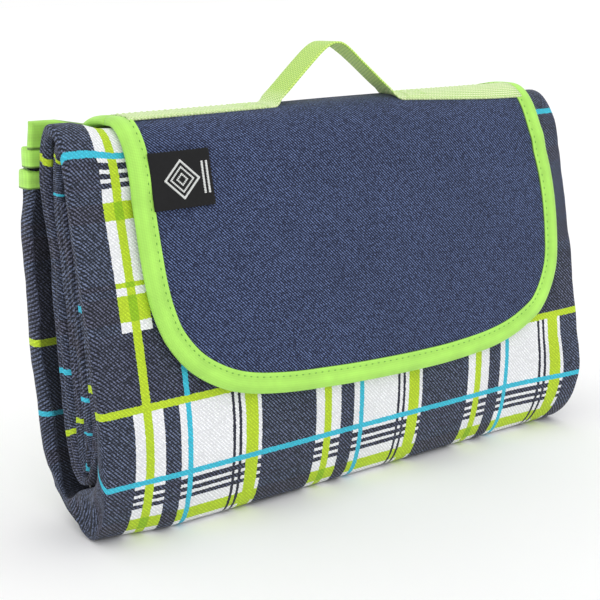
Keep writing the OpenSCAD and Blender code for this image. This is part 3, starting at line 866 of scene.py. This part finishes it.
SHOULDER_MID = (front_y(SHOULDER_Z) + rear_y(SHOULDER_Z)) / 2
SHOULDER_HALF = (rear_y(SHOULDER_Z) - front_y(SHOULDER_Z)) / 2
CROWN = ROLL_TOP + FLAP_THICKNESS + 1.2
FLAP_KNOTS = [(REAR + 3.7, 186), (REAR + 3.6, 199), (REAR + 2.7, 213), (REAR + 0.4, 227), (REAR - 5, 241),
              (38, 252.5), (25, 259), (11, 261.3), (SHOULDER_MID, CROWN)]
FLAP_PATH = join(spline(FLAP_KNOTS, 6),
                 arc(SHOULDER_MID, SHOULDER_Z, SHOULDER_HALF + FLAP_OFFSET, CROWN - SHOULDER_Z, 90, 180, 24),
                 upright(lambda z: front_y(z) - FLAP_OFFSET, SHOULDER_Z, FLAP_BOTTOM, 30))
FLAP_S = lengths(FLAP_PATH)
FLAP_FULL = FLAP_S[-1]
tangents = np.gradient(FLAP_PATH, FLAP_S, axis=0)
tangents /= np.linalg.norm(tangents, axis=1)[:, None]
FLAP_NORMALS = np.stack([tangents[:, 1], -tangents[:, 0]], 1)
WEBBING_Y = 2.0
WEBBING_HALF = 12.0
TAPE_WIDTH = 13.3


def along_flap(y, z):
    """Distance along the flap's path of its point nearest to (y, z)."""
    return float(FLAP_S[np.argmin(np.linalg.norm(FLAP_PATH - [y, z], axis=1))])


def flap_point(x, s, lift):
    """Point of the flap: x across it, s along it from the rear hem, lift above its outer face."""
    x, s, lift = np.broadcast_arrays(np.asarray(x, float), np.asarray(s, float), np.asarray(lift, float))
    beyond = s - np.clip(s, 0, FLAP_FULL)
    q = np.stack([np.interp(s, FLAP_S, FLAP_PATH[:, k]) for k in (0, 1)], -1)
    t = np.stack([np.interp(s, FLAP_S, tangents[:, k]) for k in (0, 1)], -1)
    n = np.stack([np.interp(s, FLAP_S, FLAP_NORMALS[:, k]) for k in (0, 1)], -1)
    n /= np.linalg.norm(n, axis=-1)[..., None]
    q = q + t * beyond[..., None] + n * lift[..., None]
    return np.stack([x, q[..., 0], q[..., 1]], -1)


def hinge_station(joint):
    """Distance along the flap's path of a joint's axis."""
    place = JOINTS[joint]["pos_m"]
    return along_flap(place[1] / MM, place[2] / MM)


BEND = 6.0
REAR_BEND = ("mat", "flap_top", hinge_station("flap_top_hinge"))
FRONT_BEND = ("flap_top", "flap_front", hinge_station("flap_front_hinge"))


def bend_at(o, bend):
    """Bake a piece's transform into its mesh. The points either side of the bend's station are worked out
    but not used, so the piece does not bend.
    """
    first, second, station = bend
    start, end = flap_point(0, station - BEND, 0), flap_point(0, station + BEND, 0)
    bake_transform(o)


SPLIT = along_flap(WEBBING_Y, CROWN)


def front_s(z):
    """Distance along the flap of height z on its front."""
    front = FLAP_PATH[:, 0] < SHOULDER_MID
    return np.interp(-np.asarray(z, float), -FLAP_PATH[front, 1], FLAP_S[front])


# The flap's outline as (x, height on the front), down its left side, along the bottom and up its right side
OUTLINE = [(-162, 250), (-162, 215), (-162, 185), (-161.2, 164), (-158.6, 146), (-152.7, 128), (-139.7, 110),
           (-121, 96.5), (-100, 88.2), (-71, 83), (-41, 80.3), (-9.5, 78.4), (23.6, 77.3), (45, 77),
           (70, 77.4), (103.8, 80), (129.4, 85.6), (150.9, 95), (161, 102.8), (170.5, 115.7), (177.5, 131),
           (181, 150), (183, 176), (182.4, 200), (178.9, 224), (175.3, 245)]


def outline_points(step=3.0):
    """The outline on the flap's own surface as (x, s), evenly spaced, with the direction inwards."""
    knots = [(OUTLINE[0][0], 0.0), (OUTLINE[0][0], 60.0)]
    knots += [(x, float(front_s(z))) for x, z in OUTLINE]
    knots += [(OUTLINE[-1][0], 60.0), (OUTLINE[-1][0] + 1, 0.0)]
    curve = spline(knots, 12)
    run = lengths(curve)
    even = np.linspace(0, run[-1], int(run[-1] / step) + 1)
    points = np.stack([np.interp(even, run, curve[:, k]) for k in (0, 1)], 1)
    way = np.gradient(points, axis=0)
    way /= np.linalg.norm(way, axis=1)[:, None]
    return points, np.stack([way[:, 1], -way[:, 0]], 1)


contour, contour_in = outline_points()
contour_run = lengths(contour)
lowest = int(np.argmax(contour[:, 1]))


def side_x(s, side, margin):
    """Where the outline's left (-1) or right (1) side is at s, drawn in by margin."""
    half = slice(0, lowest + 1) if side < 0 else slice(lowest, None)
    inset = contour[half] + contour_in[half] * margin
    if side > 0:
        inset = inset[::-1]
    return np.interp(s, np.maximum.accumulate(inset[:, 1]), inset[:, 0])


def flap_swell(x, s):
    """Slight unevenness of the padded flap above its even thickness."""
    inner = smoothstep(np.minimum(x - FLAP_LEFT, FLAP_RIGHT - x), 6, 40)
    lower = smoothstep(FLAP_FULL - s, 4, 40)
    return (0.6 * inner * lower + wobble(x / 60, s / 50, seed=40) * 0.35
            + wobble(x / 14, s / 14, seed=41) * 0.22 * (1 - inner * lower))


def flap_slab(name, s0, s1, rows, bend, nodes):
    """One stretch of the flap, twill outside and lining inside."""
    margin = 1.2
    s = np.linspace(s0, s1, rows)
    if s1 >= FLAP_FULL:
        s = s0 + (FLAP_FULL - margin - s0) * (1 - (1 - np.linspace(0, 1, rows)) ** 1.8)
    t = np.linspace(0, 1, 70)
    t = (1 - np.cos(np.pi * t)) / 2 * 0.5 + t * 0.5
    left, right = side_x(s, -1, margin), side_x(s, 1, margin)
    x = left[:, None] + (right - left)[:, None] * t[None, :]
    ss = np.repeat(s[:, None], len(t), 1)
    outer = flap_point(x, ss, flap_swell(x, ss))
    inner = flap_point(x, ss, -FLAP_THICKNESS + flap_swell(x, ss) * 0.3)
    rings = np.concatenate([outer, inner[:, ::-1]], 1)
    u = np.concatenate([x, x[:, ::-1], x[:, :1]], 1)
    uv = np.stack([u, np.repeat(s[:, None], u.shape[1], 1)], -1)
    per_row = [0] * (len(t) - 1) + [1] * (len(t) + 1)
    o = tube(name, rings, uv, [TWILL, LINING_AND_PAINTED_SHADE], per_row * (rows - 1) + [1, 1])
    bend_at(o, bend)
    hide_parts(*nodes)
    return o


flap_upper = flap_slab("flap_upper", 0, SPLIT, 48, REAR_BEND,
                       ["flap_anchor_cover", "flap_anchor_lining", "flap_rear_crease", "flap_top_cover",
                        "flap_top_foam", "flap_top_lining"])
flap_lower = flap_slab("flap_lower", SPLIT, FLAP_FULL, 64, FRONT_BEND,
                       ["flap_front_crease", "flap_front_cover", "flap_front_foam", "flap_front_lining"])
# Flat length and area of the flap's lower half, from its width measured between its edges in the photo
lower_length = FLAP_FULL - SPLIT
stations = np.linspace(SPLIT, FLAP_FULL - 1.2, 200)
lower_area = float(np.mean(side_x(stations, 1, 0) - side_x(stations, -1, 0))) * lower_length


# ---------------------------------------------------------------- the flap's binding

# The binding's section: in from the edge, and up from the flap's outer face
TAPE_PROFILE = [(13.3, 0.0), (13.2, 0.95), (12.5, 1.25), (11.0, 1.0), (9.8, 1.05), (8.2, 1.55), (5.5, 1.8),
                (2.6, 1.6), (0.9, 1.0), (-0.2, 0.0), (-0.6, -1.6), (-0.2, -3.0), (0.9, -3.7), (2.6, -3.9),
                (5.5, -3.9), (8.5, -3.9), (12.9, -3.7), (13.3, -3.3)]


def tape_point(points, inward, a, lift, run):
    """Place on the binding: a in from the edge and lift above the flap's outer face."""
    ripple = 1 + 0.10 * wobble(run / 9, seed=50)
    place = points + inward * a
    extra = wobble(run / 23, seed=51) * 0.3
    return flap_point(place[..., 0], place[..., 1], lift * ripple + extra * (a / TAPE_WIDTH) * (lift > 0))


def flap_tape(name, piece, bend, *nodes):
    """Folded tape over one stretch of the flap's edge."""
    around = lengths(np.array(TAPE_PROFILE + TAPE_PROFILE[:1]))
    rings, uv = [], []
    for p, inward, r in zip(contour[piece], contour_in[piece], contour_run[piece]):
        rings.append([tape_point(p, inward, a, lift, r) for a, lift in TAPE_PROFILE])
        uv.append([(r, q) for q in around])
    o = tube(name, rings, uv, [TAPE])
    bend_at(o, bend)
    if nodes:
        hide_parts(*nodes)


def stitches(name, centres, directions, normals, long, wide, material):
    """Short threads lying on a surface, sunk a little at their ends."""
    vertices, faces = [], []
    around = np.radians(np.arange(0, 360, 60))
    profile = [(-0.5, 0.15, -0.5), (-0.3, 0.8, 0.1), (0.0, 1.0, 0.35), (0.3, 0.8, 0.1), (0.5, 0.15, -0.5)]
    for c, d, n in zip(centres, directions, normals):
        d, n = d / np.linalg.norm(d), n / np.linalg.norm(n)
        b = np.cross(n, d)
        start = len(vertices)
        for along, size, up in profile:
            for a in around:
                vertices.append(c + d * along * long + n * (up * wide / 2 + math.sin(a) * size * wide / 2)
                                + b * math.cos(a) * size * wide / 2)
        faces += closed_skin(len(profile), len(around), start)
    return recalculate(make_object(name, vertices, faces, [material]))


last_left = int(np.argmax(contour[:, 1] > SPLIT))
last_right = len(contour) - 1 - int(np.argmax(contour[::-1, 1] > SPLIT))
LEFT_SIDE = slice(0, last_left + 1)
LOWER_SIDE = slice(last_left, last_right + 1)
RIGHT_SIDE = slice(last_right, len(contour))
flap_tape("flap_binding_upper_left", LEFT_SIDE, REAR_BEND, "flap_top_binding")
flap_tape("flap_binding_upper_right", RIGHT_SIDE, REAR_BEND)
flap_tape("flap_binding_lower", LOWER_SIDE, FRONT_BEND, "flap_front_binding")


def contour_stitches(name, piece, bend):
    """A row of stitches along the inner edge of the binding."""
    pitch, from_edge, lift = 5.2, 10.4, 0.98

    def row(run, height):
        points, inward = (np.stack([np.interp(run, contour_run, line[:, k]) for k in (0, 1)], 1)
                          for line in (contour, contour_in))
        return np.array([tape_point(p, w, from_edge, height, r) for p, w, r in zip(points, inward, run)])
    run = np.arange(contour_run[piece][0] + 2, contour_run[piece][-1] - 2, pitch)
    here = row(run, lift)
    o = stitches(name, here, row(run + 0.5, lift) - here, row(run, lift + 1) - here, 2.0, 0.7, THREAD)
    bend_at(o, bend)


contour_stitches("binding_stitches_left", LEFT_SIDE, REAR_BEND)
contour_stitches("binding_stitches_right", RIGHT_SIDE, REAR_BEND)
contour_stitches("binding_stitches_lower", LOWER_SIDE, FRONT_BEND)


def rear_hem():
    """Tape along the flap's sewn rear edge, with its two rows of stitches."""
    profile = [(13, 0.1), (12.6, 0.9), (8, 1.2), (3, 1.2), (0.4, 0.7), (-0.5, -0.8), (0, -2.6), (2, -3.1),
               (13, -3.1)]
    x = np.linspace(contour[0, 0] - 0.4, contour[-1, 0] + 0.4, 90)
    ripple = 0.15 * wobble(x / 18, seed=60)
    rings = [[flap_point(q, s, lift + extra) for s, lift in profile] for q, extra in zip(x, ripple)]
    around = lengths(np.array(profile + profile[:1]))
    dress(tube("rear_hem_tape", rings, [[(q, a) for a in around] for q in x], [TAPE]), "mat", "edge_binding",
          "flap_anchor_binding")
    xs = np.arange(contour[0, 0] + 16, contour[-1, 0] - 16, 4.4)
    c, n = [], []
    for s, lift in ((10.6, 1.1), (17, 0.55), (20.5, 0.55)):
        for q in xs:
            c.append(flap_point(q, s, lift))
            n.append(flap_point(q, s, lift + 1) - c[-1])
    along_x = [np.array([1.0, 0, 0])] * len(c)
    rows = stitches("rear_hem_stitches", c, along_x, n, 2.7, 0.75, THREAD)
    dress(rows, "mat", "thread", "flap_anchor_stitches")


rear_hem()


# ---------------------------------------------------------------- webbing and handle

STRAP_THICK = 1.6
FOOT_LEFT, FOOT_RIGHT = HANDLE_LEFT - 1.0, HANDLE_RIGHT + 1.0
HANDLE_MID = (FOOT_LEFT + FOOT_RIGHT) / 2
STRAP_LEFT, STRAP_RIGHT = contour[0, 0] + TAPE_WIDTH - 3, contour[-1, 0] - TAPE_WIDTH + 3


def strap_drift(x):
    """The webbing is sewn on a little askew: its right end is further down the front."""
    return 12.0 * smoothstep(x, -20, 170)


def strap(name, path, follow, run, material):
    """A ribbon whose middle follows path in the XZ plane. follow is 1 where it lies on the flap and 0 where
    it stands free; run is the distance along the whole webbing."""
    across = np.array([-1, -0.96, -0.8, -0.5, -0.2, 0.2, 0.5, 0.8, 0.96, 1.0]) * WEBBING_HALF
    thick = np.array([0.55, 1, 1, 1, 1, 1, 1, 1, 1, 0.55]) * STRAP_THICK / 2
    t = np.gradient(path, axis=0)
    t /= np.linalg.norm(t, axis=1)[:, None]
    n = np.stack([-t[:, 1], t[:, 0]], 1)
    rings, uv = [], []
    m = len(across)
    for i, p in enumerate(path):
        ring, row = [], []
        s_mid = along_flap(WEBBING_Y, CROWN)
        for side in (1, -1):
            order = range(m) if side == 1 else range(m - 1, -1, -1)
            for j in order:
                b, h = across[j], thick[j] * side
                on = flap_point(p[0], s_mid - b + strap_drift(p[0]), 0.1 + STRAP_THICK / 2 + h)
                twist = 0.2 * b * smoothstep(p[0], HANDLE_MID - 5, HANDLE_MID + 25)
                y = WEBBING_Y + b - 0.7 * strap_drift(p[0])
                free = np.array([p[0] + n[i, 0] * h + twist, y, p[1] + n[i, 1] * h])
                ring.append(on * follow[i] + free * (1 - follow[i]))
                row.append((run[i], b + WEBBING_HALF if side == 1 else 4 * WEBBING_HALF - b))
        row.append((run[i], 4 * WEBBING_HALF + WEBBING_HALF))
        rings.append(ring)
        uv.append(row)
    o = tube(name, rings, uv, [material])
    return o


def flat_strap(name, x0, x1, node):
    x = np.linspace(x0, x1, max(8, int((x1 - x0) / 4)))
    path = np.stack([x, np.full(len(x), CROWN + 0.1 + STRAP_THICK / 2)], 1)
    o = strap(name, path, np.ones(len(x)), x, STRAP)
    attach(o, "flap_top")
    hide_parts(node)


flat_strap("webbing_strap_left", STRAP_LEFT, FOOT_LEFT - 5, "webbing_left")
flat_strap("webbing_strap_right", FOOT_RIGHT + 5, STRAP_RIGHT, "webbing_right")


def handle():
    """The loop: flat at each foot, straight legs and a short round top."""
    base = CROWN + 0.1 + STRAP_THICK / 2
    top = HANDLE_TOP - STRAP_THICK / 2
    rise = top - base
    half = HANDLE_MID - FOOT_LEFT
    right = [(0.1 * half, 0.975 * rise), (0.24 * half, 0.86 * rise), (0.5 * half, 0.56 * rise),
             (0.8 * half, 0.20 * rise), (half - 3, 2.2), (half + 2, 0.2), (half + 5, 0)]
    knots = [(-a, b) for a, b in right[::-1]] + [(0.0, rise)] + right
    path = spline([(HANDLE_MID + a, base + b) for a, b in knots], 7)
    height = path[:, 1] - base
    follow = 1 - smoothstep(height, 0.2, 4.5)
    run = FOOT_LEFT - 5 + lengths(path)
    material = webbing_material("handle_webbing", (run[0] + 6, run[-1] - 6))
    o = strap("carry_handle", path, follow, run, material)
    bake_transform(o)
    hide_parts("handle_webbing")


handle()


def strap_stitches():
    """Zigzag along the webbing's front edge, a straight row along its back, a crossed box at each foot."""
    s_mid = along_flap(WEBBING_Y, CROWN)
    lift = 0.1 + STRAP_THICK
    c, d, n = [], [], []

    def add(x, b, way):
        s = s_mid - b + strap_drift(x)
        here = flap_point(x, s, lift)
        c.append(here)
        ahead = flap_point(x + way[0] * 0.5, s - way[1] * 0.5, lift)
        d.append(ahead - here)
        n.append(flap_point(x, s, lift + 1) - here)

    spans = [(STRAP_LEFT + 4, FOOT_LEFT - 3), (FOOT_RIGHT + 3, STRAP_RIGHT - 4)]
    for a, b in spans:
        for k, x in enumerate(np.arange(a, b, 2.1)):
            add(x, -WEBBING_HALF + 0.5, (1, 1.0 if k % 2 else -1.0))
        for x in np.arange(a, b, 4.2):
            add(x, WEBBING_HALF - 2, (1, 0))
    for foot, way in ((FOOT_LEFT - 6, -1), (FOOT_RIGHT + 6, 1)):
        for x in (foot, foot + way * 16):
            for b in np.arange(-9, 9.1, 3.0):
                add(x, b, (0, 1))
        for q in np.arange(1.5, 16, 3.0):
            for b in (-9, 9):
                add(foot + way * q, b, (1, 0))
            add(foot + way * q, -9 + q * 18 / 16, (1, 18 / 16))
            add(foot + way * q, 9 - q * 18 / 16, (1, -18 / 16))
    zig = stitches("webbing_stitching", c, d, n, 2.6, 0.7, THREAD_PALE)
    dress(zig, "flap_top", "thread", "webbing_stitches", "handle_bar_tacks")


strap_stitches()


# ---------------------------------------------------------------- hook and loop, label

def patch(name, x0, x1, s0, s1, bottom, top, body, *nodes):
    """A thin pad with rounded corners on the flap's surface coordinates."""
    cx, cs = (x0 + x1) / 2, (s0 + s1) / 2
    hx, hs = (x1 - x0) / 2, (s1 - s0) / 2
    rings, uv = [], []
    middle = (bottom + top) / 2
    for size, lift in ((1.0, bottom), (1.0, middle), (0.985, top), (0.8, top), (0.5, top), (0.15, top)):
        ring, row = [], []
        for k in range(64):
            a = 2 * math.pi * k / 64
            dx, ds = math.cos(a), math.sin(a)
            power = 2 / 9
            px = cx + hx * size * math.copysign(abs(dx) ** power, dx)
            ps = cs + hs * size * math.copysign(abs(ds) ** power, ds)
            ring.append(flap_point(px, ps, lift))
            row.append((px, ps))
        row.append(row[0])
        rings.append(ring)
        uv.append(row)
    dress(tube(name, rings, uv, [HOOKS]), body, "hook_and_loop", *nodes)


TAPE_LENGTH, TAPE_HEIGHT = 60.0, 20.0
tape_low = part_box("hook_tapes")[0][2] / MM
tape_s = along_flap(-BULGE - FLAP_OFFSET + 2, tape_low + TAPE_HEIGHT / 2)
for number, x in enumerate((-70.0, 100.0), 1):
    sides = (x - TAPE_LENGTH / 2, x + TAPE_LENGTH / 2, tape_s - TAPE_HEIGHT / 2, tape_s + TAPE_HEIGHT / 2)
    hooks, loops = (["hook_tapes"], ["loop_tapes"]) if number == 1 else ([], [])
    patch(f"hook_tape_{number}", *sides, -FLAP_THICKNESS + 0.2, -FLAP_THICKNESS - 0.8, "flap_front", *hooks)
    patch(f"loop_tape_{number}", *sides, -FLAP_OFFSET - 0.6, -FLAP_OFFSET + 0.9, "mat", *loops)


LABEL_HINGE = JOINTS["label_hinge"]
label_axis = -Vector(LABEL_HINGE["axis"])
label_origin = np.array(LABEL_HINGE["pos_m"]) / MM
LABEL_RIGHT = edge("label", 1, 0)
LABEL_UP = np.array(label_axis) / np.linalg.norm(label_axis)
LABEL_OUT = np.array([0, -LABEL_UP[2], LABEL_UP[1]])
LABEL_HALF = 17.5


def label_point(x, h, lift):
    """Point of the label: x along X, h up its slope from its middle, lift out from its back face."""
    x, h, lift = np.broadcast_arrays(*(np.asarray(q, float) for q in (x, h, lift)))
    p = label_origin * [0, 1, 1] + h[..., None] * LABEL_UP + lift[..., None] * LABEL_OUT
    p[..., 0] += x
    return p


def label_curl(x, h):
    """The label bows gently and its free corners stand off a little."""
    free = smoothstep(x, label_origin[0], LABEL_RIGHT)
    bow = 0.5 * np.sin((h / LABEL_HALF) * 1.3) ** 2 * free
    return bow + 0.9 * free ** 3 + 0.15 * wobble(x / 11, h / 11, seed=70)


def build_label():
    x = np.linspace(label_origin[0] - 8.5, LABEL_RIGHT - 5.0, 26)
    h = np.concatenate([[-LABEL_HALF], np.linspace(-LABEL_HALF + 0.5, LABEL_HALF - 0.5, 18), [LABEL_HALF]])
    thin = np.where(np.abs(h) >= LABEL_HALF - 0.01, 0.25, 0.4)
    rings, uv = [], []
    for q in x:
        lift = label_curl(q, h) + 0.4
        front = label_point(q, h, lift + thin)
        back = label_point(q, h[::-1], lift[::-1] - thin[::-1])
        rings.append(np.vstack([front, back]))
        row = [(q, b) for b in h] + [(q, b) for b in h[::-1]]
        uv.append(row + [row[0]])
    o = tube("label_tab", rings, uv, [LABEL])
    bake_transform(o)
    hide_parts("label", "label_seam")


def build_emblem():
    """Generic woven device: three nested diamonds and two bars, in raised satin thread."""
    mid = label_origin[0] + 12.6
    threads = {}

    def line(a, b, wide):
        a, b = np.array(a, float), np.array(b, float)
        d = (b - a) / np.linalg.norm(b - a)
        count = max(3, int(np.linalg.norm(b - a) / 0.9))
        for t in np.linspace(0, 1, count):
            x, h = a + (b - a) * t
            lift = float(label_curl(x, h)) + 0.85
            here = label_point(x, h, lift)
            ahead = label_point(x - d[1], h + d[0], lift)
            threads.setdefault(wide, []).append((here, ahead - here, LABEL_OUT))

    for r, wide in ((11.5, 1.7), (7.6, 1.4), (3.4, 1.4)):
        corners = [(r, 0), (0, r), (-r, 0), (0, -r)]
        for a, b in zip(corners, corners[1:] + corners[:1]):
            line(np.add(a, (mid, 0)), np.add(b, (mid, 0)), wide)
    for x in (mid + 14.6, mid + 17.6):
        line((x, -9.5), (x, 9.5), 1.8)
    for k, (wide, places) in enumerate(threads.items()):
        piece = stitches(f"label_emblem_{k}", *zip(*places), wide, 1.05, EMBLEM)
        dress(piece, "label", "emblem_thread", *(["label_emblem"] if k == 0 else []))


build_label()
build_emblem()


# ---------------------------------------------------------------- floor, light and camera

def floor():
    g = Graph("studio_floor")
    place = g.position()
    shade = g.remap(g.noise(place, 0.004, 2.0), 0.3, 0.7, 0.985, 1.0)
    material = g.finish(g.multiply((0.98, 0.98, 0.98, 1), g.grey(shade)), 0.7, specular=0.1)
    size = 60000
    o = make_object("studio_floor", [(-size, -size, 0), (size, -size, 0), (size, size, 0), (-size, size, 0)],
                    [(0, 1, 2, 3)], [material])


WORLD_LIGHT = 1.0
KEY_LIGHT = 0.45
KEY_FROM = (-0.05, -0.5, 0.86)


def lighting():
    world = bpy.data.worlds.new("studio_world")
    bpy.context.scene.world = world
    world.use_nodes = True
    background = world.node_tree.nodes["Background"]
    background.inputs["Color"].default_value = (1, 1, 1, 1)
    background.inputs["Strength"].default_value = WORLD_LIGHT
    data = bpy.data.lights.new("key", "SUN")
    data.energy = KEY_LIGHT
    data.angle = math.radians(50)
    key = bpy.data.objects.new("key", data)
    bpy.context.scene.collection.objects.link(key)
    key.rotation_mode = "QUATERNION"
    key.rotation_quaternion = Vector(KEY_FROM).to_track_quat("Z", "Y")
    bpy.context.scene.view_settings.view_transform = "Standard"


CAMERA_PLACE = (-0.4959, -0.6961, 0.3331)
CAMERA_AZIMUTH = -34.22
CAMERA_ELEVATION = 13.83
CAMERA_ROLL = -1.68
CAMERA_FOCAL = 75.0


def camera():
    a, e, r = (math.radians(q) for q in (CAMERA_AZIMUTH, CAMERA_ELEVATION, CAMERA_ROLL))
    back = Vector((math.sin(a) * math.cos(e), -math.cos(a) * math.cos(e), math.sin(e)))
    right = Vector((math.cos(a), math.sin(a), 0))
    up = back.cross(right)
    x_axis = right * math.cos(r) + up * math.sin(r)
    y_axis = up * math.cos(r) - right * math.sin(r)
    data = bpy.data.cameras.new("camera")
    data.lens = CAMERA_FOCAL
    data.sensor_width = 36
    data.clip_start, data.clip_end = 0.02, 50
    o = bpy.data.objects.new("camera", data)
    bpy.context.scene.collection.objects.link(o)
    m = Matrix.Identity(4)
    for k in range(3):
        m[k][0], m[k][1], m[k][2], m[k][3] = x_axis[k], y_axis[k], back[k], CAMERA_PLACE[k]
    o.matrix_world = m
    bpy.context.scene.camera = o


floor()
lighting()
camera()
